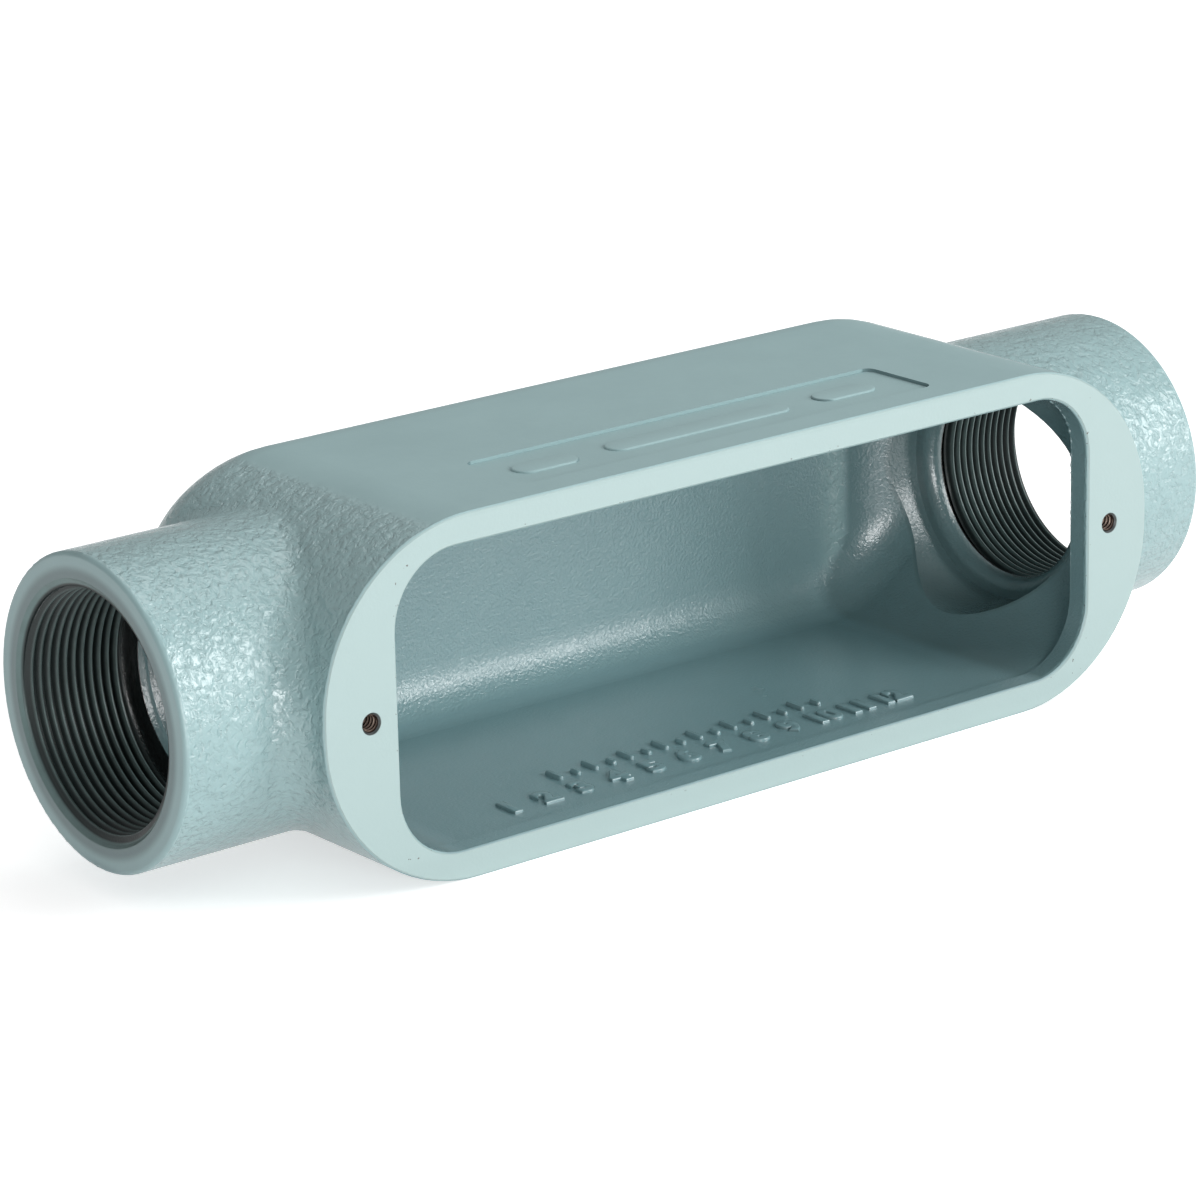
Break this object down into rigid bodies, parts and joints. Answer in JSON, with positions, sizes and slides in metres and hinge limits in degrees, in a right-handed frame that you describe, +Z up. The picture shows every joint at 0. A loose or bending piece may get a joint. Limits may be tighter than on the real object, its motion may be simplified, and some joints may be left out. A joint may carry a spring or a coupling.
{
  "type": "conduit body",
  "caption": "Straight-through cast iron conduit body: a long painted box, open at the cover side, with a threaded hub at each end.",
  "frame": {"origin": "middle of the bottom of the box that bounds the part, on the flat side that it lies on", "axes": "+X along the conduit run, -Y out of the cover opening, +Z up through the flat sides"},
  "size_m": [0.3078, 0.0894, 0.085],
  "materials": {
    "painted_iron": "semi-gloss blue-grey enamel over sand-cast iron, machined cover flange"
  },
  "bodies": {
    "root": {"conduit_body": "painted_iron"}
  },
  "joints": []
}
